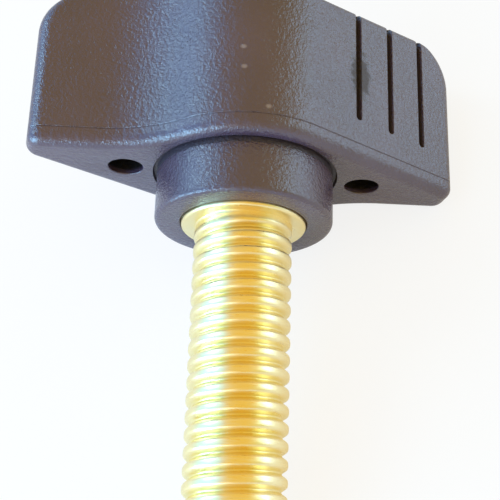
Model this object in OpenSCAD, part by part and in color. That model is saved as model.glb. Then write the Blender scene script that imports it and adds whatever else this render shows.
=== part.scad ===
// Wing screw: a moulded plastic wing head on a flanged metal stud.
// The shapes are drawn upright, with the stud pointing down and the origin at
// the centre of the flange's bearing face, and are then laid down as the real
// screw comes to rest: on the stud's end, the hub and one wing tip.

/* [Stud] */
// Outside diameter of the thread
thread_d = 5.9; // [4.6:0.1:7]
// Length of the stud from the bearing face to its end
stud_len = 20; // [12:0.5:40]
// Chamfer at the free end of the stud
end_chamfer = 0.6; // [0.2:0.1:1.2]

/* [Flange] */
// Diameter of the flange
flange_d = 7.55; // [7.3:0.05:9.4]
// Thickness of the flange
flange_t = 1; // [0.6:0.1:1.6]
// Height by which the flange stands proud of the collar
flange_proud = 0.2; // [0.1:0.05:0.4]
// Rounding of the flange's outer rim
flange_round = 0.2; // [0.05:0.05:0.3]

/* [Anchor] */
// Diameter of the waist that locks the insert in the plastic
waist_d = 4.4; // [3:0.1:5]
// Length of the waist
waist_len = 1.4; // [0.8:0.1:2.4]
// Diameter over the teeth of the knurled barrel
barrel_d = 6.6; // [5.4:0.1:7.6]
// Length of the knurled barrel
barrel_len = 5; // [3:0.25:7]
// Number of teeth round the barrel
knurl_count = 24; // [12:1:36]
// Depth of the knurled teeth
knurl_depth = 0.25; // [0.1:0.05:0.4]

/* [Collar] */
// Diameter of the collar under the head
collar_d = 10.75; // [10:0.05:12.4]
// Height of the collar
collar_h = 3.25; // [2:0.05:5]
// Rounding of the collar's lower rim
collar_round = 0.3; // [0.1:0.05:0.45]

/* [Head] */
// Diameter of the round hub between the wings
hub_d = 13; // [12.6:0.1:14]
// Distance over both wing tips
span = 26.6; // [24:0.2:32]
// Height of the wings above the collar
head_h = 10.6; // [9.4:0.1:14]
// Fall of the dished top from the wing tips to the screw axis
top_fall = 0.7; // [0:0.1:1.2]
// Thickness of a wing at its tip
tip_t = 2.1; // [2:0.1:3.4]
// Slant of the flat grooved faces against the line through both tips
flat_deg = 25; // [20:0.5:28]
// Slant of the hollow faces against the same line
hollow_deg = 10.8; // [6:0.2:13]
// Radius of the hollow where such a face runs into the hub
hollow_r = 8.5; // [3:0.5:9]
// Rounding of the upright edges of the tips
tip_round = 0.9; // [0.75:0.05:1.0]
// Rounding of the lower edge of the head
foot_round = 0.7; // [0.3:0.05:0.7]
// Rounding of the long upper edges
rim_round = 0.5; // [0.2:0.05:0.6]
// Radius of the upper outer corners of the wings
crown_r = 2.9; // [1.5:0.1:3.6]

/* [Grip grooves] */
// Number of grooves on each flat face
groove_count = 3; // [1:1:3]
// Distance of the innermost groove from the screw axis, along the tip line
groove_first = 5.9; // [5:0.1:6.4]
// Spacing of the grooves along the tip line
groove_pitch = 2.45; // [1.6:0.05:2.6]
// Width of a groove
groove_w = 0.5; // [0.3:0.05:0.8]
// Depth of a groove
groove_depth = 0.45; // [0.2:0.05:0.7]
// Height of the grooves' blind ends above the underside
groove_foot = 2.6; // [1.6:0.1:5]

/* [Core holes] */
// Diameter of the core hole in each wing's underside
core_d = 2.1; // [1.2:0.1:2.6]
// Depth of the core holes
core_depth = 6; // [2:0.5:8]
// Distance of the core holes from the screw axis
core_dist = 7.3; // [6.8:0.1:8.4]
// Angle of the core holes behind the tip line
core_deg = -5.8; // [-12:0.2:4]

/* [Fit] */
// Shrinkage gap between the plastic and the insert
insert_gap = 0.02; // [0.01:0.01:0.05]

/* [Hidden] */
// Small overshoot that carries a cut past a face
cut = 0.1;
// Segments of a full turn on the turned shapes
turn_fn = 96;
// Segments of each kind of arc in the head's outline
tip_steps = 6;
hollow_steps = 10;
hub_steps = 14;
// Levels of each rounding on the head's height
round_steps = 6;
crown_steps = 10;
// Length over which the two slopes of the dished top run into each other
dish_run = 3;

thread_r = thread_d / 2;
flange_r = flange_d / 2;
collar_r = collar_d / 2;
hub_r = hub_d / 2;
tip_x = span / 2;
// Collar's lower face and the head's underside, above the bearing face
collar_z = flange_proud;
under_z = collar_z + collar_h;
waist_z = flange_t - flange_proud;
barrel_z = waist_z + waist_len;
// Hollow face of the right wing: its outward normal, direction and distance
// from the axis
hollow_normal = [sin(hollow_deg), cos(hollow_deg)];
hollow_along = [cos(hollow_deg), -sin(hollow_deg)];
hollow_dist = hollow_normal * [tip_x, flat_y(tip_x) + tip_t];
// Rest: direction of the floor about the screw axis, where one plane touches
// both the hub and the rounded edge of the right tip, and tilt of the axis
tip_edge = [tip_x - tip_round, hollow_y(tip_x - tip_round, tip_round)];
rest_dir = atan2(tip_edge[1], tip_edge[0]) + acos((hub_r - tip_round) / norm(tip_edge));
foot_axial = under_z + foot_round + stud_len - end_chamfer;
foot_radial = hub_r - foot_round - thread_r;
rest_tilt = atan2(foot_radial, foot_axial) + asin(foot_round / norm([foot_axial, foot_radial]));

function polar(r, a) = [r * cos(a), r * sin(a)];

function arc(centre, r, from, to, steps) =
    [for (k = [0 : steps]) centre + polar(r, from + (to - from) * k / steps)];

// Place on the plan of the right wing's flat face at x, moved inwards
function flat_y(x, inset = 0) = (x * sin(flat_deg) - (hub_r - inset)) / cos(flat_deg);

// Place on the plan of the right wing's hollow face at x, moved inwards
function hollow_y(x, inset = 0) = (hollow_dist - inset - x * sin(hollow_deg)) / cos(hollow_deg);

// Right half of the head's outline, from the front of the hub round the wing
// tip to the back of the hub, with its walls moved inwards and its tip at x
function half_outline(inset, x) =
    let (
        corner = max(tip_round - inset, 0.1),
        corner_x = x - corner,
        hub = hub_r - inset,
        hollow = hollow_r + inset,
        off = hollow_dist + hollow_r,
        hollow_c = hollow_normal * off + hollow_along * sqrt(pow(hub_r + hollow_r, 2) - pow(off, 2)),
        hollow_dir = atan2(hollow_c[1], hollow_c[0]),
        // The hollow starts at its face, or past the corner where that is nearer
        reach = (hollow_c[0] - corner_x - corner * sin(hollow_deg)) / hollow,
        hollow_start = 180 + acos(min(max(reach, sin(hollow_deg)), 1))
    )
    concat(
        [polar(hub, flat_deg - 90)],
        arc([corner_x, flat_y(corner_x, inset + corner)], corner, flat_deg - 90, 0, tip_steps),
        arc([corner_x, hollow_y(corner_x, inset + corner)], corner, 0, 90 - hollow_deg, tip_steps),
        arc(hollow_c, hollow, hollow_start, hollow_dir + 180, hollow_steps),
        [for (k = [1 : hub_steps - 1])
            polar(hub, hollow_dir + (flat_deg + 90 - hollow_dir) * k / hub_steps)]
    );

// Whole outline: the second half is the first, turned by half a turn
function outline(inset, x) =
    let (half = half_outline(inset, x))
    concat(half, [for (p = half) -p]);

// Levels of the head: height above the underside, inset of the walls, tip
foot_levels = [for (k = [0 : round_steps - 1])
    let (a = 90 * k / round_steps, inset = foot_round * (1 - sin(a)))
    [foot_round * (1 - cos(a)), inset, tip_x - inset]];
crown_levels = [for (k = [0 : crown_steps])
    let (a = 90 * k / crown_steps, z = head_h - crown_r + crown_r * sin(a))
    [z, rim_inset(z), tip_x - crown_r + crown_r * cos(a)]];
head_levels = concat(foot_levels, [[foot_round, 0, tip_x]], crown_levels);

// Inset of the long walls in the rounding of the upper edges
function rim_inset(z) =
    let (up = z - (head_h - rim_round))
    up <= 0 ? 0 : rim_round - sqrt(max(pow(rim_round, 2) - pow(up, 2), 0));

// Lowering of a point at x and height z on the dished top
function top_drop(x, z) =
    let (
        rise = min(max((z - head_h + crown_r) / crown_r, 0), 1),
        out = (norm([x, dish_run]) - dish_run) / (norm([tip_x, dish_run]) - dish_run)
    )
    top_fall * (1 - out) * rise;

// Solid through a stack of rings with the same number of points each, and with
// the height of each end face on the axis. Every ring can be seen whole from
// the axis, where the two end faces fan out.
module loft(rings, foot, top) {
    n = len(rings[0]);
    last = len(rings) - 1;
    hearts = [[0, 0, foot], [0, 0, top]];
    sides = [for (j = [0 : last - 1]) for (i = [0 : n - 1])
        let (a = j * n + i, b = j * n + (i + 1) % n)
        each [[a, a + n, b], [b, a + n, b + n]]];
    ends = [for (i = [0 : n - 1])
        let (next = (i + 1) % n, crest = last * n, heart = crest + n)
        each [[heart, i, next], [heart + 1, crest + next, crest + i]]];
    polyhedron(
        points = concat([for (ring = rings) each ring], hearts),
        faces = concat(sides, ends)
    );
}

module head_body() {
    rings = [for (level = head_levels)
        [for (p = outline(level[1], level[2]))
            [p[0], p[1], under_z + level[0] - top_drop(p[0], level[0])]]];
    loft(rings, under_z, under_z + head_h - top_drop(0, head_h));
}

// Round collar that carries the head, with a rounded lower rim
module collar() {
    rotate_extrude($fn = turn_fn)
        polygon(concat(
            [[0, collar_z]],
            arc([collar_r - collar_round, collar_z + collar_round], collar_round, -90, 0, 4),
            [[collar_r, under_z + cut], [0, under_z + cut]]
        ));
}

// Upright slot with a round blind end, cut square into a flat face
module groove(x) {
    top = under_z + head_h + cut;
    foot = under_z + groove_foot + groove_w / 2;
    translate([x, flat_y(x), 0])
        rotate([0, 0, flat_deg])
            rotate([90, 0, 0])
                translate([0, 0, -groove_depth])
                    linear_extrude(groove_depth + 1)
                        union() {
                            translate([-groove_w / 2, foot])
                                square([groove_w, top - foot]);
                            translate([0, foot])
                                circle(d = groove_w, $fn = 24);
                        }
}

module core_hole() {
    translate([core_dist * cos(core_deg), core_dist * sin(core_deg), under_z - cut])
        cylinder(d = core_d, h = core_depth + cut, $fn = 32);
}

// Toothed section of the barrel
module knurl_section(gap) {
    tip = barrel_d / 2 + gap;
    polygon([for (k = [0 : 2 * knurl_count - 1])
        polar(k % 2 == 0 ? tip : tip - knurl_depth, 180 * k / knurl_count)]);
}

// Part of the insert that the plastic holds, grown by a gap
module anchor(gap) {
    translate([0, 0, waist_z - cut])
        cylinder(d = waist_d + 2 * gap, h = waist_len + 2 * cut, $fn = turn_fn);
    translate([0, 0, barrel_z - gap])
        linear_extrude(barrel_len + 2 * gap)
            knurl_section(gap);
}

// Stud and flange as one turned profile
module turned_stud() {
    rotate_extrude($fn = turn_fn)
        polygon(concat(
            [
                [0, -stud_len],
                [thread_r - end_chamfer, -stud_len],
                [thread_r, end_chamfer - stud_len],
                [thread_r, 0]
            ],
            arc([flange_r - flange_round, flange_round], flange_round, -90, 0, 4),
            [[flange_r, waist_z], [0, waist_z]]
        ));
}

module laid_down() {
    rotate([rest_tilt - 90, 0, 0])
        rotate([0, 0, 90 - rest_dir])
            children();
}

module wing_head() {
    color([0.16, 0.15, 0.16])
        laid_down()
            difference() {
                union() {
                    head_body();
                    collar();
                }
                // Seat of the flange and mould of the insert's anchor
                translate([0, 0, collar_z - cut])
                    cylinder(r = flange_r + insert_gap,
                             h = waist_z - collar_z + cut + insert_gap, $fn = turn_fn);
                anchor(insert_gap);
                for (side = [0, 180])
                    rotate([0, 0, side]) {
                        core_hole();
                        for (k = [0 : groove_count - 1])
                            groove(groove_first + k * groove_pitch);
                    }
            }
}

module threaded_stud() {
    color([0.85, 0.67, 0.3])
        laid_down()
            union() {
                turned_stud();
                anchor(0);
            }
}

wing_head();
threaded_stud();
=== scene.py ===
"""Wing screw, lying as it comes to rest on a pale floor.

A black moulded wing head with grip grooves sits on a flanged, threaded stud of
bright yellow metal. Both pieces are drawn upright in millimetres, with the stud
pointing down and the origin at the centre of the flange's bearing face, and are
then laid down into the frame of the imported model, in metres.
"""

import logging
import math
from dataclasses import dataclass
from enum import Enum
from typing import Iterable, Sequence

import bmesh
import bpy
import numpy as np
from mathutils import Matrix, Vector
from mathutils.geometry import tessellate_polygon

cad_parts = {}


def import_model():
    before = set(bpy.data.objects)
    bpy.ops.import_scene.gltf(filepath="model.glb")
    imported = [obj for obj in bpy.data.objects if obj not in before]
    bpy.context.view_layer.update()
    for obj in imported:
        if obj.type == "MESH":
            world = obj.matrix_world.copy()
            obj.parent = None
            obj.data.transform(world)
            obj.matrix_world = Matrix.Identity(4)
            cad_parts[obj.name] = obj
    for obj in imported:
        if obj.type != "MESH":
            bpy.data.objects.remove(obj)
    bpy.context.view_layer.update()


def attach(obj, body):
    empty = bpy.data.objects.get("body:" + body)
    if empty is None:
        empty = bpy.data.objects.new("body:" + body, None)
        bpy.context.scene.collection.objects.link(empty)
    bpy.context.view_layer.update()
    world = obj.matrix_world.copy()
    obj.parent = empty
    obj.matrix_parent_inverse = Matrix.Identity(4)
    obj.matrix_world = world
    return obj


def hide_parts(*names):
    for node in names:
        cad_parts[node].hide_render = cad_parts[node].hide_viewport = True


LOG = logging.getLogger("wing_screw")
MM = 0.001
WELD_MM = 0.0008
HUB_R = 6.5
FLAT_DEG = 25.0
CORE_DIST = 7.3
CORE_DEG = -5.8
PLAN_ONLY = (1.0, 1.0, 0.0)
Ring = list[int]
Colour = tuple[float, float, float]
Socket = bpy.types.NodeSocket
Sockets = bpy.types.bpy_prop_collection


class Node(Enum):
    """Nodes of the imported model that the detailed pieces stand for."""

    HEAD = "wing_head"
    STUD = "threaded_stud"


class Slot(Enum):
    """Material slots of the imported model."""

    PLASTIC = "head_plastic"
    BRASS = "stud_brass"


# Plan geometry


def polar(radius: float, degrees: float) -> np.ndarray:
    """Point on the plan at a radius and an angle in degrees."""
    angle = math.radians(degrees)
    return radius * np.array([math.cos(angle), math.sin(angle)])


def arc(centre: np.ndarray, radius: float, start: float, end: float, steps: int) -> np.ndarray:
    """Points on an arc, both ends included.

    Args:
        centre: Centre of the arc on the plan.
        radius: Radius of the arc.
        start: Angle of the first point in degrees.
        end: Angle of the last point in degrees.
        steps: Number of steps between the two ends.

    Returns:
        An array with one row for each point.
    """
    turns = [start + (end - start) * k / steps for k in range(steps + 1)]
    return np.array([centre + polar(radius, degrees) for degrees in turns])


def quarter(steps: int) -> np.ndarray:
    """Angles of a quarter turn in radians, both ends included."""
    return np.radians(np.linspace(0, 90, steps + 1))


def between(first: np.ndarray, last: np.ndarray, count: int) -> np.ndarray:
    """Evenly spaced points strictly between two others."""
    shares = np.arange(1, count + 1) / (count + 1)
    return first + (last - first) * shares[:, None]


def at_height(plan: np.ndarray, height: float) -> np.ndarray:
    """Plan points lifted to one height."""
    return np.column_stack([plan, np.full(len(plan), height)])


# Closed skin


class Skin:
    """A closed skin, gathered ring by ring in the upright frame."""

    def __init__(self) -> None:
        """Start with no points and no faces."""
        self.points: list[tuple[float, ...]] = []
        self.faces: list[tuple[int, ...]] = []

    def ring(self, points: np.ndarray) -> Ring:
        """Add a closed ring of points.

        Args:
            points: One row for each point, in millimetres.

        Returns:
            The numbers of the new points.
        """
        first = len(self.points)
        self.points.extend(tuple(p) for p in points)
        return list(range(first, len(self.points)))

    def band(self, low: Ring, high: Ring) -> None:
        """Join two rings of equal length with four-sided faces.

        Args:
            low: First ring.
            high: Second ring, with one point for each of the first one's.
        """
        count = len(low)
        for i in range(count):
            j = (i + 1) % count
            self.faces.append((low[i], low[j], high[j], high[i]))

    def stack(self, rings: Sequence[Ring]) -> None:
        """Join each ring to the next one."""
        for low, high in zip(rings, rings[1:]):
            self.band(low, high)

    def fan(self, ring: Ring, heart: Sequence[float]) -> None:
        """Close a ring with triangles that meet at one point.

        Args:
            ring: Ring to close.
            heart: Place where the triangles meet.
        """
        middle = self.ring(np.array([heart]))[0]
        count = len(ring)
        for i in range(count):
            self.faces.append((ring[i], ring[(i + 1) % count], middle))

    def sheet(self, outer: Ring, holes: Sequence[Ring]) -> None:
        """Fill a flat ring, leaving the rings inside it open.

        Args:
            outer: Ring round the sheet.
            holes: Rings that stay open.
        """
        loops = [outer, *holes]
        index = [i for loop in loops for i in loop]
        corners = [[Vector(self.points[i]) for i in loop] for loop in loops]
        self.faces.extend(tuple(index[k] for k in face) for face in tessellate_polygon(corners))

    def turned(self, profile: Iterable[tuple[float, float]], segments: int) -> list[Ring]:
        """Turn a profile about the screw axis.

        Args:
            profile: Radius and height of each ring.
            segments: Number of points on a ring.

        Returns:
            The rings, in the order of the profile.
        """
        angles = np.arange(segments) * 2 * math.pi / segments
        circle = np.column_stack([np.cos(angles), np.sin(angles)])
        rings = [self.ring(at_height(circle * radius, height)) for radius, height in profile]
        self.stack(rings)
        return rings

    def to_mesh(self, name: str) -> bpy.types.Mesh:
        """Make the skin a mesh.

        Args:
            name: Name of the mesh.

        Returns:
            The mesh, still upright and in millimetres.
        """
        mesh = bpy.data.meshes.new(name)
        mesh.from_pydata(self.points, [], self.faces)
        mesh.update()
        return mesh


# Node helpers


class Graph:
    """Short calls that add and join the nodes of one tree."""

    def __init__(self, tree: bpy.types.NodeTree) -> None:
        """Work on a node tree."""
        self.tree = tree

    def add(self, kind: str, inputs: dict | None = None, **settings: object) -> bpy.types.Node:
        """Add a node.

        Args:
            kind: Type name of the node.
            inputs: Value or source socket for each named or numbered input.
            **settings: Properties of the node itself.

        Returns:
            The new node.
        """
        node = self.tree.nodes.new(kind)
        for key, value in settings.items():
            setattr(node, key, value)
        for key, value in (inputs or {}).items():
            self.feed(node.inputs[key], value)
        return node

    def feed(self, socket: Socket, value: object) -> None:
        """Link a source to an input, or set a plain value on it.

        Args:
            socket: Input to feed.
            value: Source socket, or the value itself.
        """
        if isinstance(value, Socket):
            self.tree.links.new(value, socket)
        else:
            socket.default_value = value

    def math(self, operation: str, *values: object) -> Socket:
        """Result of a math node on plain values or sockets."""
        return self.add("ShaderNodeMath", dict(enumerate(values)), operation=operation).outputs[0]

    def times(self, first: object, second: object) -> Socket:
        """Product of two values or sockets."""
        return self.math("MULTIPLY", first, second)

    def within(self, value: object, low: float, high: float) -> Socket:
        """One where a value lies between two limits, and zero elsewhere."""
        return self.times(self.math("GREATER_THAN", value, low), self.math("LESS_THAN", value, high))

    def span(self, value: object, start: float, end: float, low: float = 0.0,
             high: float = 1.0) -> Socket:
        """Map a value from one range to another, eased, and hold it there."""
        inputs = {"Value": value, "From Min": start, "From Max": end, "To Min": low, "To Max": high}
        return self.add("ShaderNodeMapRange", inputs, interpolation_type="SMOOTHSTEP").outputs[0]

    def noise(self, place: Socket, scale: float, detail: float, roughness: float = 0.5) -> Socket:
        """Noise value at a place."""
        inputs = {"Vector": place, "Scale": scale, "Detail": detail, "Roughness": roughness}
        return self.add("ShaderNodeTexNoise", inputs, noise_dimensions="3D").outputs[0]

    def vector(self, operation: str, first: Socket,
               second: Sequence[float] | None = None) -> bpy.types.Node:
        """Vector math node on a place and, where it takes one, a second vector."""
        inputs = {0: first} if second is None else {0: first, 1: tuple(second)}
        return self.add("ShaderNodeVectorMath", inputs, operation=operation)

    def distance(self, place: Socket, spot: Sequence[float], scale: Sequence[float]) -> Socket:
        """Measure how far a place is from a spot.

        Args:
            place: Place of the shaded point.
            spot: Spot to measure from.
            scale: Factor on each axis.

        Returns:
            The scaled distance.
        """
        near = self.vector("SUBTRACT", place, spot).outputs[0]
        sized = self.vector("MULTIPLY", near, scale).outputs[0]
        return self.vector("LENGTH", sized).outputs["Value"]

    def along(self, place: Socket, heading: Sequence[float]) -> Socket:
        """How far a place lies along a heading."""
        return self.vector("DOT_PRODUCT", place, heading).outputs["Value"]

    def height(self, place: Socket) -> Socket:
        """Height of a place."""
        return self.add("ShaderNodeSeparateXYZ", {0: place}).outputs[2]

    def blend(self, factor: object, first: object, second: object) -> Socket:
        """Mix two colours.

        Args:
            factor: Share of the second colour.
            first: Colour or socket at a share of zero.
            second: Colour or socket at a share of one.

        Returns:
            The mixed colour.
        """
        node = self.add("ShaderNodeMix", data_type="RGBA")
        self.feed(node.inputs[0], factor)
        for socket, value in ((node.inputs[6], first), (node.inputs[7], second)):
            self.feed(socket, value if isinstance(value, Socket) else (*value, 1.0))
        return node.outputs[2]


def emptied(owner: bpy.types.Material | bpy.types.World) -> Graph:
    """Clear the nodes that a material or world starts with.

    Args:
        owner: Material or world.

    Returns:
        A graph on its tree.
    """
    owner.use_nodes = True
    owner.node_tree.nodes.clear()
    return Graph(owner.node_tree)


# Rest pose


@dataclass(frozen=True)
class RestPose:
    """How the upright screw is laid down.

    The floor touches the stud's end, the rounded foot of the hub and the foot
    of one wing tip, so the axis is tilted and turned about itself.
    """

    tilt_deg: float = 8.591297
    heading_deg: float = 64.946956

    def turn(self) -> Matrix:
        """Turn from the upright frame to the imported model's frame."""
        lay = Matrix.Rotation(math.radians(self.tilt_deg - 90), 4, "X")
        return lay @ Matrix.Rotation(math.radians(90 - self.heading_deg), 4, "Z")

    def matrix(self) -> Matrix:
        """The same turn with millimetres made metres."""
        return self.turn() @ Matrix.Scale(MM, 4)


# Finishes


@dataclass(frozen=True)
class Finish:
    """What every finish shares: a name, a view on the upright frame and a sheen.

    The sheen is how far the roughness falls and rises while a noise value
    passes the limits in sheen_edge.
    """

    name: str
    pose: RestPose
    roughness: float = 0.3
    sheen: tuple[float, float] = (-0.06, 0.08)
    sheen_edge: tuple[float, float] = (0.3, 0.7)

    def open(self) -> tuple[bpy.types.Material, Graph, bpy.types.Node]:
        """Open an empty material with its shader.

        Returns:
            The material, a graph on its tree, and the surface shader.
        """
        material = bpy.data.materials.new(self.name)
        graph = emptied(material)
        shader = graph.add("ShaderNodeBsdfPrincipled")
        output = graph.add("ShaderNodeOutputMaterial")
        graph.feed(output.inputs["Surface"], shader.outputs[0])
        return material, graph, shader

    def upright(self, graph: Graph) -> Socket:
        """Turn the object coordinates upright.

        Args:
            graph: Graph of the material.

        Returns:
            The place of the shaded point, upright and in millimetres.
        """
        inputs = {
            "Vector": graph.add("ShaderNodeTexCoord").outputs["Object"],
            "Rotation": self.pose.turn().inverted().to_euler("XYZ"),
            "Scale": (1 / MM,) * 3,
        }
        return graph.add("ShaderNodeMapping", inputs, vector_type="POINT").outputs[0]

    def uneven(self, graph: Graph, value: Socket) -> Socket:
        """Roughness that follows a noise value."""
        least, most = (self.roughness + step for step in self.sheen)
        return graph.span(value, *self.sheen_edge, least, most)


@dataclass(frozen=True)
class MouldedPlastic(Finish):
    """Black plastic with fine grain, a smudge, specks, and painted shade in grooves, collar corner and
    bores.

    Places and lengths are in millimetres in the upright frame. A pair of
    limits runs from the first value to the second.
    """

    base: Colour = (0.072, 0.046, 0.081)
    pale: Colour = (0.092, 0.066, 0.103)
    deep: Colour = (0.060, 0.038, 0.067)
    # Painted shade inside the core holes.
    bore_shade: Colour = (0.010, 0.009, 0.009)
    dust: Colour = (0.42, 0.36, 0.39)
    # Colour of the real smudge and of the painted shade in the grooves and at the collar.
    grime_and_shade: Colour = (0.021, 0.012, 0.025)
    roughness: float = 0.19
    dirt_and_shade_roughness: float = 0.6
    specular: float = 1.0
    cloud_scale: float = 0.22
    cloud_edge: tuple[float, float] = (0.35, 0.68)
    grain_mm: float = 0.21
    grain_edge: tuple[float, float] = (0.52, 0.80)
    grain_share: float = 0.35
    fine_scale: float = 3.2
    fine_share: float = 0.3
    relief: float = 0.00006
    specks: tuple[tuple[float, float, float], ...] = (
        (-1.74, -6.26, 8.73), (-1.66, -6.28, 7.42), (-0.21, -6.50, 4.95))
    speck_scale: tuple[float, float, float] = (1.0, 1.0, 1.3)
    speck_edge: tuple[float, float] = (0.07, 0.25)
    speck_share: float = 0.38
    smudge: tuple[float, float, float] = (5.98, -4.38, 9.20)
    smudge_scale: tuple[float, float, float] = (1.2, 1.2, 0.62)
    smudge_edge: tuple[float, float] = (1.30, 1.90)
    ragged: tuple[float, float] = (2.2, 1.3)
    core_dist: float = CORE_DIST
    core_deg: float = CORE_DEG
    # Reach and heights of the painted shade inside the core holes.
    bore_reach: float = 1.09
    bore_z: tuple[float, float] = (3.56, 9.60)
    bore_fade: float = 0.35
    hub_r: float = HUB_R
    flat_deg: float = FLAT_DEG
    # Where and how strongly shade is painted into the grip grooves.
    groove_limits: tuple[float, float] = (2.8, 9.6)
    groove_z: float = 5.9
    groove_edge: tuple[float, float] = (0.05, 0.22)
    groove_end: float = 0.6
    groove_shade_share: float = 0.7
    # Where and how strongly shade is painted into the collar's corner.
    collar_reach: float = 5.66
    collar_edge: tuple[float, float] = (3.12, 3.26)
    collar_top: float = 3.80
    collar_shade_share: float = 0.9

    def build(self) -> bpy.types.Material:
        """Make the material of the wing head.

        Returns:
            The finished material.
        """
        material, graph, shader = self.open()
        place = self.upright(graph)
        clouds = graph.noise(place, self.cloud_scale, 3.0)
        grain = graph.noise(place, 1 / self.grain_mm, 2.0, 0.6)
        fine = graph.noise(place, self.fine_scale / self.grain_mm, 1.0)
        tone = graph.blend(graph.span(clouds, *self.cloud_edge), self.deep, self.base)
        tone = graph.blend(graph.span(grain, *self.grain_edge, 0.0, self.grain_share), tone, self.pale)
        # The smudge is real dirt; the grooves and the collar's corner get painted shade in the same
        # colour.
        dirt_and_shade = self.grimy(graph, place)
        for other in (self.painted_groove_shade(graph, place), self.painted_collar_shade(graph, place)):
            dirt_and_shade = graph.math("MAXIMUM", dirt_and_shade, other)
        tone = graph.blend(dirt_and_shade, tone, self.grime_and_shade)
        tone = graph.blend(self.speckled(graph, place), tone, self.dust)
        # Painted shade on the walls inside the core holes.
        tone = graph.blend(self.painted_bore_shade(graph, place), tone, self.bore_shade)
        graph.feed(shader.inputs["Base Color"], tone)
        rough = graph.math("MAXIMUM", self.uneven(graph, grain), graph.times(dirt_and_shade, self.dirt_and_shade_roughness))
        graph.feed(shader.inputs["Roughness"], rough)
        height = graph.math("ADD", grain, graph.times(fine, self.fine_share))
        bump = graph.add("ShaderNodeBump", {"Height": height, "Strength": 1.0, "Distance": self.relief})
        graph.feed(shader.inputs["Normal"], bump.outputs[0])
        shader.inputs["Specular IOR Level"].default_value = self.specular
        return material

    def speckled(self, graph: Graph, place: Socket) -> Socket:
        """Scatter three small specks of pale dust on the hub.

        Args:
            graph: Graph of the material.
            place: Upright place of the shaded point.

        Returns:
            The share of dust.
        """
        share = None
        for spot in self.specks:
            far = graph.distance(place, spot, self.speck_scale)
            one = graph.span(far, *self.speck_edge, self.speck_share, 0.0)
            share = one if share is None else graph.math("MAXIMUM", share, one)
        return share

    def grimy(self, graph: Graph, place: Socket) -> Socket:
        """Smear a dark smudge over the innermost groove.

        Args:
            graph: Graph of the material.
            place: Upright place of the shaded point.

        Returns:
            The share of dirt.
        """
        scale, amount = self.ragged
        ragged = graph.times(graph.noise(place, scale, 2.0), amount)
        reach = graph.math("ADD", graph.distance(place, self.smudge, self.smudge_scale), ragged)
        return graph.span(reach, *self.smudge_edge, 1.0, 0.0)

    def painted_collar_shade(self, graph: Graph, place: Socket) -> Socket:
        """Paint shade into the corner between the collar and the underside.

        Args:
            graph: Graph of the material.
            place: Upright place of the shaded point.

        Returns:
            The share of painted shade.
        """
        height = graph.height(place)
        far = graph.distance(place, (0.0, 0.0, 0.0), PLAN_ONLY)
        near = graph.times(graph.math("LESS_THAN", far, self.collar_reach),
                           graph.math("LESS_THAN", height, self.collar_top))
        return graph.times(graph.span(height, *self.collar_edge, 0.0, self.collar_shade_share), near)

    def painted_groove_shade(self, graph: Graph, place: Socket) -> Socket:
        """Paint shade into the grip grooves of both flat faces.

        Args:
            graph: Graph of the material.
            place: Upright place of the shaded point.

        Returns:
            The share of painted shade.
        """
        inward, sideways = (graph.along(place, (*polar(1.0, degrees), 0.0))
                            for degrees in (self.flat_deg + 90, self.flat_deg))
        inside = graph.math("SUBTRACT", self.hub_r, graph.math("ABSOLUTE", inward))
        pressed = graph.times(graph.span(inside, *self.groove_edge),
                              graph.math("LESS_THAN", inside, self.groove_end))
        near = graph.times(graph.within(graph.math("ABSOLUTE", sideways), *self.groove_limits),
                           graph.math("GREATER_THAN", graph.height(place), self.groove_z))
        return graph.times(graph.times(pressed, near), self.groove_shade_share)

    def painted_bore_shade(self, graph: Graph, place: Socket) -> Socket:
        """Paint shade on the smooth walls inside the two core holes.

        Args:
            graph: Graph of the material.
            place: Upright place of the shaded point.

        Returns:
            The share of painted shade.
        """
        x, y = polar(self.core_dist, self.core_deg)
        near = graph.math("MINIMUM", graph.distance(place, (x, y, 0.0), PLAN_ONLY),
                          graph.distance(place, (-x, -y, 0.0), PLAN_ONLY))
        height = graph.height(place)
        mouth, end = self.bore_z
        deep = graph.times(graph.span(height, mouth, mouth + self.bore_fade),
                           graph.math("LESS_THAN", height, end))
        return graph.times(deep, graph.math("LESS_THAN", near, self.bore_reach))


@dataclass(frozen=True)
class YellowBrass(Finish):
    """Bright yellow metal, darker and deeper yellow towards the thread's roots."""

    base: Colour = (0.95, 0.80, 0.43)
    pale: Colour = (0.96, 0.84, 0.53)
    root: Colour = (0.90, 0.74, 0.31)
    roughness: float = 0.33
    crest_edge: tuple[float, float] = (0.05, 0.85)
    cloud_scale: float = 0.55
    cloud_edge: tuple[float, float] = (0.35, 0.75)
    cloud_share: float = 0.5
    turning_lines: tuple[float, float, float] = (1.2, 1.2, 16.0)
    relief: float = 0.000008

    def build(self) -> bpy.types.Material:
        """Make the material of the threaded stud.

        Returns:
            The finished material.
        """
        material, graph, shader = self.open()
        place = self.upright(graph)
        crest = graph.add("ShaderNodeAttribute", attribute_name="crest").outputs["Fac"]
        clouds = graph.noise(place, self.cloud_scale, 2.0)
        tone = graph.blend(graph.span(crest, *self.crest_edge), self.root, self.base)
        tone = graph.blend(graph.span(clouds, *self.cloud_edge, 0.0, self.cloud_share), tone, self.pale)
        graph.feed(shader.inputs["Base Color"], tone)
        stretched = graph.add("ShaderNodeMapping", {"Vector": place, "Scale": self.turning_lines})
        lines = graph.noise(stretched.outputs[0], 1.0, 2.0)
        graph.feed(shader.inputs["Roughness"], self.uneven(graph, lines))
        bump = graph.add("ShaderNodeBump", {"Height": lines, "Strength": 0.35, "Distance": self.relief})
        graph.feed(shader.inputs["Normal"], bump.outputs[0])
        shader.inputs["Metallic"].default_value = 1.0
        return material


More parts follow.
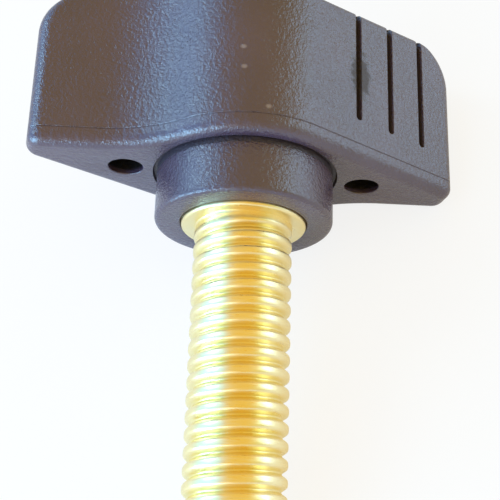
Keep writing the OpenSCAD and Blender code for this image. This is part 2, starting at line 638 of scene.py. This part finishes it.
@dataclass(frozen=True)
class PaleFloor:
    """White sheet under the screw, which keeps the soft shadow.

    The glow is the share of plain white that the camera sees in it, and
    mirrored is the share that glossy surfaces see.
    """

    name: str = "pale_floor"
    colour: Colour = (0.90, 0.93, 0.99)
    glow: float = 0.83
    mirrored: float = 0.35

    def build(self) -> bpy.types.Material:
        """Make the material of the floor.

        Returns:
            The finished material.
        """
        material = bpy.data.materials.new(self.name)
        graph = emptied(material)
        sheet = graph.add("ShaderNodeBsdfDiffuse", {"Color": (*self.colour, 1.0)})
        white = graph.add("ShaderNodeEmission", {"Color": (1.0, 1.0, 1.0, 1.0), "Strength": 1.0})
        path = graph.add("ShaderNodeLightPath").outputs
        bounced = graph.math("MAXIMUM", path["Is Glossy Ray"], path["Is Transmission Ray"])
        seen = graph.times(path["Is Camera Ray"], self.glow)
        share = graph.math("MULTIPLY_ADD", bounced, self.mirrored, seen)
        mixed = graph.add("ShaderNodeMixShader", {0: share, 1: sheet.outputs[0], 2: white.outputs[0]})
        output = graph.add("ShaderNodeOutputMaterial")
        graph.feed(output.inputs["Surface"], mixed.outputs[0])
        return material


# Pieces


def linked(name: str, data: bpy.types.ID) -> bpy.types.Object:
    """Make an object and link it to the scene.

    Args:
        name: Name of the object.
        data: Mesh, lamp or camera that it shows.

    Returns:
        The object, at the origin.
    """
    thing = bpy.data.objects.new(name, data)
    bpy.context.scene.collection.objects.link(thing)
    return thing


def plain_mesh(thing: bpy.types.Object) -> bpy.types.Mesh:
    """Apply an object's modifiers and remove the object.

    Args:
        thing: Object with its modifiers.

    Returns:
        A plain mesh of what it showed.
    """
    bpy.context.view_layer.update()
    graph = bpy.context.evaluated_depsgraph_get()
    mesh = bpy.data.meshes.new_from_object(thing.evaluated_get(graph), depsgraph=graph)
    thing.modifiers.clear()
    bpy.data.objects.remove(thing)
    return mesh


def settle(mesh: bpy.types.Mesh, name: str, pose: RestPose, material: bpy.types.Material,
           sharp_deg: float) -> bpy.types.Object:
    """Lay an upright mesh down and make it a finished piece.

    Args:
        mesh: Closed mesh, upright and in millimetres.
        name: Name of the piece.
        pose: How the screw lies.
        material: Finish of the piece.
        sharp_deg: Angle past which an edge stays sharp.

    Returns:
        The piece, at the origin, with its place in its mesh.
    """
    shell = bmesh.new()
    shell.from_mesh(mesh)
    bmesh.ops.remove_doubles(shell, verts=shell.verts, dist=WELD_MM)
    bmesh.ops.recalc_face_normals(shell, faces=shell.faces)
    shell.to_mesh(mesh)
    open_edges = sum(1 for e in shell.edges if not e.is_manifold)
    shell.free()
    mesh.transform(pose.matrix())
    mesh.materials.clear()
    mesh.materials.append(material)
    mesh.shade_smooth()
    mesh.set_sharp_from_angle(angle=math.radians(sharp_deg))
    rough = linked(name + "_rough", mesh)
    rough.modifiers.new("even_normals", "WEIGHTED_NORMAL").keep_sharp = True
    final = plain_mesh(rough)
    final.name = name
    triangles = sum(len(p.vertices) - 2 for p in final.polygons)
    LOG.info("%s: %d triangles, %d open edges", name, triangles, open_edges)
    return linked(name, final)


@dataclass(frozen=True)
class KnurledBarrel:
    """Toothed barrel that holds the stud in the moulding."""

    radius: float
    low: float
    high: float
    depth: float = 0.25
    count: int = 24

    def plan(self, segments: int) -> np.ndarray:
        """Draw the toothed outline.

        Args:
            segments: Number of points, a multiple of twice the count.

        Returns:
            One plan point for each segment.
        """
        angles = np.arange(segments) * 2 * math.pi / segments
        share = np.abs(((angles * self.count / (2 * math.pi) + 0.5) % 1.0) - 0.5) * 2
        radius = self.radius - self.depth * share
        return np.column_stack([np.cos(angles), np.sin(angles)]) * radius[:, None]

    def close(self, skin: Skin, ring: Ring) -> None:
        """Close a skin with the barrel's lower face, wall and upper face.

        Args:
            skin: Skin that takes the faces.
            ring: Ring at the waist below the barrel.
        """
        toothed = self.plan(len(ring))
        rings = [ring, *[skin.ring(at_height(toothed, z)) for z in (self.low, self.high)]]
        skin.stack(rings)
        skin.fan(rings[-1], (0.0, 0.0, self.high))


@dataclass(frozen=True)
class GripGroove:
    """Section of one upright groove pressed into a flat face."""

    width: float = 0.5
    depth: float = 0.45
    lip: float = 0.05
    draft: float = 0.03
    floor_round: float = 0.07

    def section(self) -> tuple[np.ndarray, np.ndarray]:
        """Depth against the distance from the middle line.

        Returns:
            Distances from the middle outwards, and the depth at each.
        """
        edge = self.width / 2 - self.lip / 2
        turn = quarter(4)[::-1]
        foot = edge - self.draft - self.floor_round
        inner = np.column_stack([foot + self.floor_round * np.cos(turn),
                                 self.depth - self.floor_round * (1 - np.sin(turn))])
        outer = np.column_stack([edge + self.lip * (1 - np.sin(turn)),
                                 self.lip * (1 - np.cos(turn))])
        table = np.vstack([[0.0, self.depth], inner, outer])
        return table[:, 0], table[:, 1]


@dataclass
class WingHead:
    """Moulded head: hub with two wings, collar, grip grooves and core holes.

    Lengths are in millimetres. The heights under_z, collar_z and seat_z and
    those of the barrel are measured from the flange's bearing face, and all
    heights on the wings from their underside.
    """

    pose: RestPose
    hub_r: float = HUB_R
    tip_x: float = 13.3
    height: float = 10.6
    top_fall: float = 0.7
    dish_run: float = 3.0
    top_shares: tuple[float, ...] = (0.94, 0.84, 0.70, 0.55, 0.40, 0.25, 0.12)
    tip_t: float = 2.1
    flat_deg: float = FLAT_DEG
    hollow_deg: float = 10.8
    hollow_r: float = 8.5
    tip_round: float = 0.9
    least_round: float = 0.1
    foot_round: float = 0.7
    rim_round: float = 0.5
    crown_r: float = 2.9
    under_z: float = 3.45
    wall_levels: tuple[float, ...] = (4.4, 6.0)
    seam_z: float = 1.05
    seam_depth: float = 0.04
    seam_shape: tuple[tuple[float, float], ...] = (
        (-0.10, 0.0), (-0.045, 0.0), (-0.025, 0.7), (0.0, 1.0), (0.025, 0.7), (0.045, 0.0), (0.10, 0.0))
    groove: GripGroove = GripGroove()
    groove_x: tuple[float, ...] = (5.9, 8.35, 10.8)
    groove_foot: float = 2.6
    groove_margin: float = 0.06
    blind_steps: tuple[float, ...] = (0.08, 0.16, 0.37)
    plain_x: tuple[float, ...] = (3.4, 4.2, 5.0, 6.7, 7.5, 9.15, 9.95, 11.6, 12.1)
    column_gap: float = 0.008
    corner_steps: int = 12
    tip_points: int = 3
    hollow_points: int = 6
    hollow_steps: int = 20
    hub_steps: int = 40
    core_r: float = 1.05
    core_depth: float = 6.0
    core_dist: float = CORE_DIST
    core_deg: float = CORE_DEG
    core_mouth: float = 0.09
    core_draft: float = 0.06
    core_chamfer: float = 0.3
    core_segments: int = 48
    collar_r: float = 5.375
    collar_round: float = 0.3
    collar_z: float = 0.2
    root_step: tuple[tuple[float, float], ...] = ((0.27, 0.0), (0.24, 0.12), (0.20, 0.20), (0.0, 0.20))
    seat_r: float = 3.795
    seat_z: float = 0.82
    seat_lip: tuple[tuple[float, float], ...] = ((0.15, 0.0), (0.05, 0.05), (0.0, 0.17))
    waist_r: float = 2.22
    barrel: KnurledBarrel = KnurledBarrel(3.32, 2.18, 7.22)
    segments: int = 144
    shave: float = 0.012
    least_rise: float = 0.004
    sharp_deg: float = 38.0

    def flat_y(self, x: np.ndarray | float, inset: float = 0.0) -> np.ndarray | float:
        """Place of the flat face on the plan at x."""
        slant = math.radians(self.flat_deg)
        return (x * math.sin(slant) - (self.hub_r - inset)) / math.cos(slant)

    def hollow_line(self) -> tuple[np.ndarray, np.ndarray, float]:
        """Find the line of the right wing's hollow face on the plan.

        Returns:
            Its outward normal, its direction and its distance from the axis.
        """
        normal, along = polar(1.0, 90 - self.hollow_deg), polar(1.0, -self.hollow_deg)
        corner = np.array([self.tip_x, self.flat_y(self.tip_x) + self.tip_t])
        return normal, along, float(normal @ corner)

    def hollow_y(self, x: float, inset: float) -> float:
        """Place of the hollow face on the plan at x."""
        slant = math.radians(self.hollow_deg)
        return (self.hollow_line()[2] - inset - x * math.sin(slant)) / math.cos(slant)

    def columns(self) -> np.ndarray:
        """Choose where the flat face has a column of points.

        Returns:
            Places along the tip line, close together at the grooves' walls.
        """
        reach = self.groove.section()[0] * math.cos(math.radians(self.flat_deg))
        margin = reach[-1] + self.groove_margin
        around = np.concatenate([-reach[::-1], reach[1:], [-margin, margin]])
        near = np.concatenate([x + around for x in self.groove_x])
        return np.unique(np.round(np.concatenate([near, self.plain_x]), 5))

    def hollow_arc(self, inset: float, corner_x: float, corner: float) -> tuple[np.ndarray, float]:
        """Draw the hollow that runs from a wing into the hub.

        Args:
            inset: Distance by which the walls move inwards.
            corner_x: Place of the tip's corner along the tip line.
            corner: Radius of that corner.

        Returns:
            Plan points from wing to hub, and the angle at which they reach the hub.
        """
        normal, along, distance = self.hollow_line()
        off = distance + self.hollow_r
        middle = normal * off + along * math.sqrt((self.hub_r + self.hollow_r) ** 2 - off**2)
        heading = math.degrees(math.atan2(middle[1], middle[0]))
        radius = self.hollow_r + inset
        lean = math.sin(math.radians(self.hollow_deg))
        reach = (middle[0] - corner_x - corner * lean) / radius
        start = 180 + math.degrees(math.acos(min(max(reach, lean), 1.0)))
        return arc(middle, radius, start, heading + 180, self.hollow_steps), heading

    def half_outline(self, inset: float, tip: float) -> np.ndarray:
        """Draw the right half of the outline, from the hub's front round the tip.

        Args:
            inset: Distance by which the walls move inwards.
            tip: Place of the wing tip along the tip line.

        Returns:
            Plan points, ending just before the first point's opposite.
        """
        corner = max(self.tip_round - inset, self.least_round)
        corner_x = tip - corner
        hub = self.hub_r - inset
        columns = self.columns()
        last = corner_x + corner * math.sin(math.radians(self.flat_deg))
        xs = np.minimum(columns, last - self.column_gap * np.arange(len(columns), 0, -1))
        flat = np.column_stack([xs, self.flat_y(xs, inset)])
        front = arc(np.array([corner_x, self.flat_y(corner_x, inset + corner)]), corner,
                    self.flat_deg - 90, 0, self.corner_steps)
        back = arc(np.array([corner_x, self.hollow_y(corner_x, inset + corner)]), corner,
                   0, 90 - self.hollow_deg, self.corner_steps)
        hollow, heading = self.hollow_arc(inset, corner_x, corner)
        hub_arc = arc(np.zeros(2), hub, heading, self.flat_deg + 90, self.hub_steps)[1:-1]
        return np.vstack([
            polar(hub, self.flat_deg - 90), flat, front,
            between(front[-1], back[0], self.tip_points), back,
            between(back[-1], hollow[0], self.hollow_points), hollow, hub_arc,
        ])

    def levels(self) -> list[tuple[float, float, float]]:
        """Choose the heights at which the walls have a ring.

        Returns:
            Height above the underside, inset and place of the tip for each ring.
        """
        foot = [(self.foot_round * (1 - math.cos(a)), self.foot_round * (1 - math.sin(a)))
                for a in quarter(12)]
        seam = [(self.seam_z + z, self.seam_depth * share) for z, share in self.seam_shape]
        middle = self.groove_foot + self.groove.width / 2
        blind = [middle - off for off in (*self.groove.section()[0], *self.blind_steps)]
        crown = [self.height - self.crown_r * (1 - math.sin(a)) for a in quarter(21)]
        rim = [self.height - self.rim_round * (1 - math.sin(a)) for a in quarter(10)]
        rows = [(z, inset, self.tip_x - inset) for z, inset in foot + seam]
        previous = rows[-1][0]
        for z in sorted({*blind, *self.wall_levels, *crown, *rim}):
            clear = self.height - z > self.least_rise / 2 or z >= self.height
            if clear and z - previous > self.least_rise:
                rows.append((z, self.rim_inset(z), self.crown_tip(z)))
                previous = z
        return [(z, inset + self.shave, tip - self.shave) for z, inset, tip in rows]

    def rim_inset(self, z: float) -> float:
        """Inset of the long walls at a height, from the upper rounding."""
        up = max(z - (self.height - self.rim_round), 0.0)
        return self.rim_round - math.sqrt(max(self.rim_round**2 - up**2, 0.0))

    def crown_tip(self, z: float) -> float:
        """Place of the tip at a height, from the upper outer corner."""
        up = max(z - (self.height - self.crown_r), 0.0)
        return self.tip_x - self.crown_r + math.sqrt(max(self.crown_r**2 - up**2, 0.0))

    def dished(self, ring: np.ndarray) -> np.ndarray:
        """Lower the upper points of a ring towards the middle of the top.

        Args:
            ring: One row for each point.

        Returns:
            The lowered points.
        """
        crown_z = self.under_z + self.height - self.crown_r
        rise = np.clip((ring[:, 2] - crown_z) / self.crown_r, 0.0, 1.0)
        out = np.hypot(ring[:, 0], self.dish_run) - self.dish_run
        share = 1.0 - out / (math.hypot(self.tip_x, self.dish_run) - self.dish_run)
        return ring - np.outer(rise * share * self.top_fall, (0.0, 0.0, 1.0))

    def press_grooves(self, ring: np.ndarray) -> np.ndarray:
        """Press the grooves of both flat faces into a ring of points.

        Args:
            ring: One row for each point.

        Returns:
            The points, pushed in where a groove runs.
        """
        inward, along = polar(1.0, self.flat_deg + 90), polar(1.0, self.flat_deg)
        reach, depth = self.groove.section()
        middle = self.under_z + self.groove_foot + self.groove.width / 2
        down = np.maximum(middle - ring[:, 2], 0.0)
        pressed = ring.copy()
        for side in (1.0, -1.0):
            plan = pressed[:, :2] * side
            inside = self.hub_r + plan @ inward
            wanted = np.zeros(len(plan))
            for x in self.groove_x:
                across = (plan - np.array([x, self.flat_y(x)])) @ along
                one = np.interp(np.hypot(across, down), reach, depth, right=0.0)
                wanted = np.maximum(wanted, one)
            push = np.where(inside < self.groove.depth, np.maximum(wanted - inside, 0.0), 0.0)
            pressed[:, :2] = (plan + inward * push[:, None]) * side
        return pressed

    def walls(self, skin: Skin) -> Ring:
        """Outer walls and top of the head.

        Args:
            skin: Skin that takes the faces.

        Returns:
            The ring round the underside.
        """
        rings = []
        for z, inset, tip in self.levels():
            half = self.half_outline(inset, tip)
            level = at_height(np.vstack([half, -half]), self.under_z + z)
            rings.append(skin.ring(self.dished(self.press_grooves(level))))
        for share in self.top_shares:
            rings.append(skin.ring(self.dished(level * (share, share, 1.0))))
        skin.stack(rings)
        skin.fan(rings[-1], self.dished(level * (0.0, 0.0, 1.0))[0])
        return rings[0]

    def core_hole(self, skin: Skin, degrees: float) -> Ring:
        """One blind core hole with a rounded mouth.

        Args:
            skin: Skin that takes the faces.
            degrees: Direction of the hole from the axis.

        Returns:
            The ring at its mouth.
        """
        centre = polar(self.core_dist, degrees)
        circle = arc(np.zeros(2), 1.0, 0, 360, self.core_segments)[:-1]
        top = self.under_z + self.core_depth
        narrow = self.core_r - self.core_draft
        profile = [(self.core_r + self.core_mouth * (1 - math.sin(a)),
                    self.under_z + self.core_mouth * (1 - math.cos(a))) for a in quarter(4)]
        profile += [(narrow, top - self.core_chamfer), (narrow - self.core_chamfer, top)]
        rings = [skin.ring(at_height(centre + circle * r, z)) for r, z in profile]
        skin.stack(rings)
        skin.fan(rings[-1], (*centre, top))
        return rings[0]

    def collar(self, skin: Skin) -> Ring:
        """Collar, seat of the flange and mould of the insert's anchor.

        Args:
            skin: Skin that takes the faces.

        Returns:
            The ring where the collar meets the underside.
        """
        profile = [(self.collar_r + out, self.under_z + up) for out, up in self.root_step]
        profile += [(self.collar_r - self.collar_round * (1 - math.cos(a)),
                     self.collar_z + self.collar_round * (1 - math.sin(a))) for a in quarter(6)]
        profile += [(self.seat_r + out, self.collar_z + up) for out, up in self.seat_lip]
        profile += [(self.seat_r, self.seat_z), (self.waist_r, self.seat_z),
                    (self.waist_r, self.barrel.low)]
        rings = skin.turned(profile, self.segments)
        self.barrel.close(skin, rings[-1])
        return rings[0]

    def build(self, material: bpy.types.Material) -> bpy.types.Object:
        """Finished head.

        Args:
            material: Finish of the moulding.

        Returns:
            The piece, laid down.
        """
        skin = Skin()
        outer = self.walls(skin)
        holes = [self.core_hole(skin, self.core_deg), self.core_hole(skin, self.core_deg + 180),
                 self.collar(skin)]
        skin.sheet(outer, holes)
        mesh = skin.to_mesh("wing_head_moulding")
        return settle(mesh, "moulded_wing_head", self.pose, material, self.sharp_deg)


@dataclass
class ThreadedStud:
    """Flanged stud with a rolled right-hand thread and a knurled anchor.

    Lengths are in millimetres, and heights are measured from the flange's
    bearing face. The section gives the thread's height, from 0 in the root to
    1 on the crest, at shares of half a pitch from the crest.
    """

    pose: RestPose
    thread_r: float = 2.95
    length: float = 19.99
    pitch: float = 1.0
    depth: float = 0.36
    section: tuple[tuple[float, float], ...] = (
        (0.0, 1.0), (0.22, 0.985), (0.38, 0.92), (0.52, 0.76), (0.66, 0.50), (0.80, 0.22), (0.91, 0.05),
        (1.0, 0.0))
    first_crest: float = -2.075
    chamfer: float = 0.6
    runout: float = 0.55
    runout_ease: float = 0.3
    inner_ring: float = 0.08
    flange_r: float = 3.775
    flange_round: float = 0.2
    flange_z: float = 0.8
    waist_r: float = 2.2
    barrel: KnurledBarrel = KnurledBarrel(3.3, 2.2, 7.2)
    segments: int = 96
    rows_per_turn: int = 20
    sharp_deg: float = 40.0

    def sizes(self) -> dict[str, float | int]:
        """List the sizes that the thread's tree takes.

        Returns:
            The value of each named input, a whole number where it counts.
        """
        turns = round(self.length / self.pitch) + 1
        return {
            "Pitch": self.pitch, "Outer Radius": self.thread_r, "Depth": self.depth,
            "Length": self.length, "First Crest": self.first_crest, "Chamfer": self.chamfer,
            "Runout": self.runout, "Columns": self.segments + 1,
            "Rows": turns * self.rows_per_turn + 1,
        }

    def thread_tree(self, material: bpy.types.Material) -> tuple[bpy.types.NodeTree, dict[str, str]]:
        """Tree that sweeps the thread's section along its helix.

        Args:
            material: Finish of the thread.

        Returns:
            The tree, and the identifier of each of its named inputs.
        """
        tree = bpy.data.node_groups.new("rolled_thread", "GeometryNodeTree")
        tree.interface.new_socket("Geometry", in_out="OUTPUT", socket_type="NodeSocketGeometry")
        names = {}
        for name, value in self.sizes().items():
            kind = "NodeSocketInt" if isinstance(value, int) else "NodeSocketFloat"
            names[name] = tree.interface.new_socket(name, in_out="INPUT", socket_type=kind).identifier
        graph = Graph(tree)
        size = graph.add("NodeGroupInput").outputs
        grid = graph.add("GeometryNodeMeshGrid", {
            "Size X": 1.0, "Size Y": 1.0, "Vertices X": size["Columns"], "Vertices Y": size["Rows"]})
        turn, z = self.helix(graph, size)
        sunk = self.rolled(graph, size, turn, z)
        marked = graph.add("GeometryNodeStoreNamedAttribute", {
            "Geometry": grid.outputs["Mesh"], "Name": "crest",
            "Value": graph.math("SUBTRACT", 1.0, graph.math("DIVIDE", sunk, size["Depth"])),
        }, data_type="FLOAT", domain="POINT")
        swept = graph.add("GeometryNodeSetPosition", {
            "Geometry": marked.outputs[0], "Position": self.wound(graph, size, turn, z, sunk)})
        closed = graph.add("GeometryNodeMergeByDistance", {
            "Geometry": swept.outputs[0], "Distance": WELD_MM})
        real = graph.add("GeometryNodeRealizeInstances", {"Geometry": closed.outputs[0]})
        dressed = graph.add("GeometryNodeSetMaterial", {"Geometry": real.outputs[0], "Material": material})
        graph.feed(graph.add("NodeGroupOutput").inputs[0], dressed.outputs[0])
        return tree, names

    def helix(self, graph: Graph, size: Sockets) -> tuple[Socket, Socket]:
        """Wind the corners of a unit grid down the stud.

        Args:
            graph: Graph of the thread's tree.
            size: Named inputs of the tree.

        Returns:
            The share of a turn and the height at each corner.
        """
        corner = graph.add("ShaderNodeSeparateXYZ", {0: graph.add("GeometryNodeInputPosition").outputs[0]})
        turn = graph.math("ADD", corner.outputs[0], 0.5)
        reach = graph.math("ADD", size["Length"], size["Pitch"])
        height = graph.math("MULTIPLY_ADD", graph.math("SUBTRACT", corner.outputs[1], 0.5), reach,
                            graph.times(size["Pitch"], turn))
        end = graph.times(size["Length"], -1.0)
        return turn, graph.math("MINIMUM", graph.math("MAXIMUM", height, end), 0.0)

    def rolled(self, graph: Graph, size: Sockets, turn: Socket, z: Socket) -> Socket:
        """Roll the section into the stud, fading out towards the flange.

        Args:
            graph: Graph of the thread's tree.
            size: Named inputs of the tree.
            turn: Share of a turn at each corner.
            z: Height of each corner.

        Returns:
            The depth of each corner below the crests.
        """
        whole_turns = 100.0
        along = graph.math("DIVIDE", graph.math("SUBTRACT", z, size["First Crest"]), size["Pitch"])
        ahead = graph.math("ADD", graph.math("SUBTRACT", along, turn), whole_turns + 0.5)
        off = graph.math("ABSOLUTE", graph.math("SUBTRACT", graph.math("FRACT", ahead), 0.5))
        curve = graph.add("ShaderNodeFloatCurve", {"Value": graph.times(off, 2.0)})
        points = curve.mapping.curves[0].points
        points[0].location, points[1].location = self.section[0], self.section[-1]
        for place in self.section[1:-1]:
            points.new(*place)
        curve.mapping.update()
        root = graph.times(graph.math("SUBTRACT", 1.0, curve.outputs[0]), size["Depth"])
        run = graph.math("DIVIDE", graph.times(z, -1.0), size["Runout"])
        fade = graph.math("SMOOTH_MIN", run, 1.0, self.runout_ease)
        return graph.times(root, graph.math("MAXIMUM", fade, 0.0))

    def wound(self, graph: Graph, size: Sockets, turn: Socket, z: Socket, sunk: Socket) -> Socket:
        """Place each corner round the axis, inside the chamfer of the end.

        Args:
            graph: Graph of the thread's tree.
            size: Named inputs of the tree.
            turn: Share of a turn at each corner.
            z: Height of each corner.
            sunk: Depth of each corner below the crests.

        Returns:
            The corner's place.
        """
        past_end = graph.math("ADD", z, size["Length"])
        slope = graph.math("ADD", graph.math("SUBTRACT", size["Outer Radius"], size["Chamfer"]), past_end)
        radius = graph.math("MINIMUM", graph.math("SUBTRACT", size["Outer Radius"], sunk), slope)
        angle = graph.times(turn, 2 * math.pi)
        spot = graph.add("ShaderNodeCombineXYZ", {
            0: graph.times(radius, graph.math("COSINE", angle)),
            1: graph.times(radius, graph.math("SINE", angle)),
            2: z,
        })
        return spot.outputs[0]

    def thread(self, material: bpy.types.Material) -> bpy.types.Mesh:
        """Cut the thread from a blank.

        Args:
            material: Finish of the metal.

        Returns:
            The thread alone, upright and in millimetres.
        """
        tree, names = self.thread_tree(material)
        blank = linked("thread_blank", bpy.data.meshes.new("thread_blank"))
        roller = blank.modifiers.new("rolled_thread", "NODES")
        roller.node_group = tree
        for name, value in self.sizes().items():
            roller[names[name]] = value
        return plain_mesh(blank)

    def flange(self) -> Skin:
        """Turn the flange, waist and knurled barrel above the thread.

        Returns:
            Their skin, open towards the thread.
        """
        skin = Skin()
        edge = self.flange_r - self.flange_round
        profile = [(self.thread_r, 0.0), (self.thread_r + self.inner_ring, 0.0)]
        profile += [(edge + self.flange_round * math.sin(a), self.flange_round * (1 - math.cos(a)))
                    for a in quarter(6)]
        profile += [(self.flange_r, self.flange_z), (self.waist_r, self.flange_z),
                    (self.waist_r, self.barrel.low)]
        self.barrel.close(skin, skin.turned(profile, self.segments)[-1])
        return skin

    def build(self, material: bpy.types.Material) -> bpy.types.Object:
        """Finished stud.

        Args:
            material: Finish of the metal.

        Returns:
            The piece, laid down.
        """
        upper = self.flange().to_mesh("flange")
        bright = upper.attributes.new("crest", "FLOAT", "POINT")
        bright.data.foreach_set("value", np.ones(len(upper.vertices), np.float32))
        joined = bmesh.new()
        joined.from_mesh(self.thread(material))
        joined.from_mesh(upper)
        bmesh.ops.remove_doubles(joined, verts=joined.verts, dist=WELD_MM)
        rim = [e for e in joined.edges if e.is_boundary]
        bmesh.ops.holes_fill(joined, edges=rim, sides=0)
        mesh = bpy.data.meshes.new("threaded_stud_metal")
        joined.to_mesh(mesh)
        joined.free()
        return settle(mesh, "flanged_threaded_stud", self.pose, material, self.sharp_deg)


# Studio


@dataclass(frozen=True)
class Viewpoint:
    """Where the camera stands, in the frame of the upright screw.

    The side of the screw that faces the camera is turned by facing_deg from
    the line through the wing tips.
    """

    pose: RestPose
    facing_deg: float = 12.6
    distance_mm: float = 65.43
    below_deg: float = 22.398
    pitch_deg: float = 21.055
    yaw_deg: float = 0.424
    roll_deg: float = 1.8
    lens_mm: float = 78.07
    origin_z: float = 0.32

    def to_world(self) -> Matrix:
        """Turn from right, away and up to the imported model's frame."""
        return self.pose.turn() @ Matrix.Rotation(math.radians(-self.facing_deg), 4, "Z")

    def direction(self, right: float, away: float, up: float) -> Vector:
        """World direction from its parts to the right, away and up the stud."""
        return (self.to_world() @ Vector((right, away, up))).normalized()

    def aim(self) -> Matrix:
        """Point the camera at the screw.

        Returns:
            The camera's turn in the frame of right, away and up.
        """
        pitch, yaw, roll = (math.radians(a) for a in (self.pitch_deg, self.yaw_deg, self.roll_deg))
        ahead = Vector((math.sin(yaw) * math.cos(pitch), math.cos(yaw) * math.cos(pitch), math.sin(pitch)))
        level = ahead.cross(Vector((0.0, 0.0, 1.0))).normalized()
        upward = level.cross(ahead)
        right = level * math.cos(roll) + upward * math.sin(roll)
        up = upward * math.cos(roll) - level * math.sin(roll)
        return Matrix((right, up, -ahead)).transposed().to_4x4()

    def camera(self) -> bpy.types.Object:
        """Set the camera up.

        Returns:
            The camera at its viewpoint.
        """
        data = bpy.data.cameras.new("camera")
        data.lens = self.lens_mm
        data.sensor_fit = "AUTO"
        data.sensor_width = 36.0
        data.clip_start = 0.002
        below = math.radians(self.below_deg)
        place = Vector((0.0, -self.distance_mm * math.cos(below),
                        self.origin_z - self.distance_mm * math.sin(below)))
        camera = linked("camera", data)
        spot = Matrix.Translation(self.to_world() @ place * MM)
        camera.matrix_world = spot @ self.to_world() @ self.aim()
        return camera


@dataclass(frozen=True)
class Lamp:
    """One soft lamp, placed from the origin.

    Its direction is given to the right, away and up the stud, its power in
    watts, and its size, height and distance in metres.
    """

    name: str
    toward: tuple[float, float, float]
    power: float
    size: float
    height: float
    colour: Colour
    distance: float = 0.36

    def build(self, view: Viewpoint) -> bpy.types.Object:
        """Hang the lamp so that it faces the screw.

        Args:
            view: Viewpoint that its direction is given from.

        Returns:
            The lamp, which the camera doesn't see.
        """
        data = bpy.data.lights.new(self.name, "AREA")
        data.shape = "ELLIPSE"
        data.size, data.size_y = self.size, self.height
        data.energy = self.power
        data.color = self.colour
        lamp = linked(self.name, data)
        heading = view.direction(*self.toward)
        lamp.location = heading * self.distance
        lamp.visible_camera = False
        lamp.rotation_euler = heading.to_track_quat("Z", "Y").to_euler()
        return lamp


@dataclass
class Studio:
    """Floor, world, lamps and camera.

    The world has plain colours by direction. Each edge holds the two limits
    between which one colour turns into the next: window_edge, far_edge and
    end_side on the part of the direction that points right, end_edge on the
    part that points down the stud, and horizon_edge on the part that points
    up from the floor.
    """

    view: Viewpoint
    floor_z: float = -0.005815
    floor_r: float = 1.2
    floor_segments: int = 96
    window_side: Colour = (0.60, 1.13, 1.92)
    window_edge: tuple[float, float] = (-0.54, -0.44)
    overhead: Colour = (0.88, 0.61, 0.13)
    far_edge: tuple[float, float] = (0.60, 0.70)
    far_side: Colour = (0.76, 0.80, 0.34)
    stud_end: Colour = (1.80, 1.85, 1.90)
    end_edge: tuple[float, float] = (0.62, 0.84)
    end_side: tuple[float, float] = (-0.20, -0.02)
    horizon: Colour = (0.88, 0.94, 1.02)
    horizon_edge: tuple[float, float] = (0.10, 0.20)
    lamps: tuple[Lamp, ...] = (
        Lamp("window", toward=(-0.80, -0.46, 0.38), power=0.26, size=0.11, height=0.11,
             colour=(0.50, 0.78, 0.92)),
        Lamp("low_window", toward=(-0.76, -0.12, -0.62), power=0.26, size=0.15, height=0.045,
             colour=(0.34, 0.68, 1.0), distance=0.16),
        Lamp("right_fill", toward=(0.925, -0.20, 0.323), power=0.76, size=0.34, height=0.34,
             colour=(0.45, 0.68, 1.0)),
    )

    def floor(self) -> bpy.types.Object:
        """Lay a round floor under the screw.

        Returns:
            The floor.
        """
        shell = bmesh.new()
        bmesh.ops.create_circle(shell, cap_ends=True, segments=self.floor_segments, radius=self.floor_r)
        bmesh.ops.translate(shell, verts=shell.verts, vec=(0.0, 0.0, self.floor_z))
        mesh = bpy.data.meshes.new("floor")
        shell.to_mesh(mesh)
        shell.free()
        mesh.materials.append(PaleFloor().build())
        return linked("floor", mesh)

    def world(self) -> bpy.types.World:
        """Paint the world with plain colours that the screw mirrors.

        The left is the cool window side, the middle a warmer ceiling and the
        right a pale side. The stretch past the stud's end is bright, and near
        the floor all of them give way to a pale horizon.

        Returns:
            The world.
        """
        world = bpy.data.worlds.new("studio")
        graph = emptied(world)
        heading = graph.add("ShaderNodeTexCoord").outputs["Generated"]
        across = graph.along(heading, self.view.direction(1.0, 0.0, 0.0))
        tone = graph.blend(graph.span(across, *self.window_edge), self.window_side, self.overhead)
        tone = graph.blend(graph.span(across, *self.far_edge), tone, self.far_side)
        down = graph.along(heading, self.view.direction(0.0, 0.0, -1.0))
        beyond = graph.times(graph.span(down, *self.end_edge),
                             graph.span(across, *self.end_side, 1.0, 0.0))
        tone = graph.blend(beyond, tone, self.stud_end)
        tone = graph.blend(graph.span(graph.height(heading), *self.horizon_edge), self.horizon, tone)
        room = graph.add("ShaderNodeBackground", {"Color": tone, "Strength": 1.0})
        graph.feed(graph.add("ShaderNodeOutputWorld").inputs["Surface"], room.outputs[0])
        return world

    def build(self) -> None:
        """Set the whole studio up."""
        scene = bpy.context.scene
        scene.camera = self.view.camera()
        scene.world = self.world()
        scene.view_settings.view_transform = "Standard"
        self.floor()
        for lamp in self.lamps:
            lamp.build(self.view)


# Main


def main() -> None:
    """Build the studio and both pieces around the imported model."""
    logging.basicConfig(level=logging.INFO, format="%(name)s: %(message)s")
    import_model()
    pose = RestPose()
    Studio(Viewpoint(pose)).build()
    head = WingHead(pose).build(MouldedPlastic("black_plastic", pose).build())
    stud = ThreadedStud(pose).build(YellowBrass("yellow_brass", pose).build())
    for piece, node, slot in ((head, Node.HEAD, Slot.PLASTIC), (stud, Node.STUD, Slot.BRASS)):
        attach(piece, "root")
        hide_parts(node.value)
        LOG.info("%s stands for %s", piece.name, node.value)


if __name__ == "__main__":
    main()
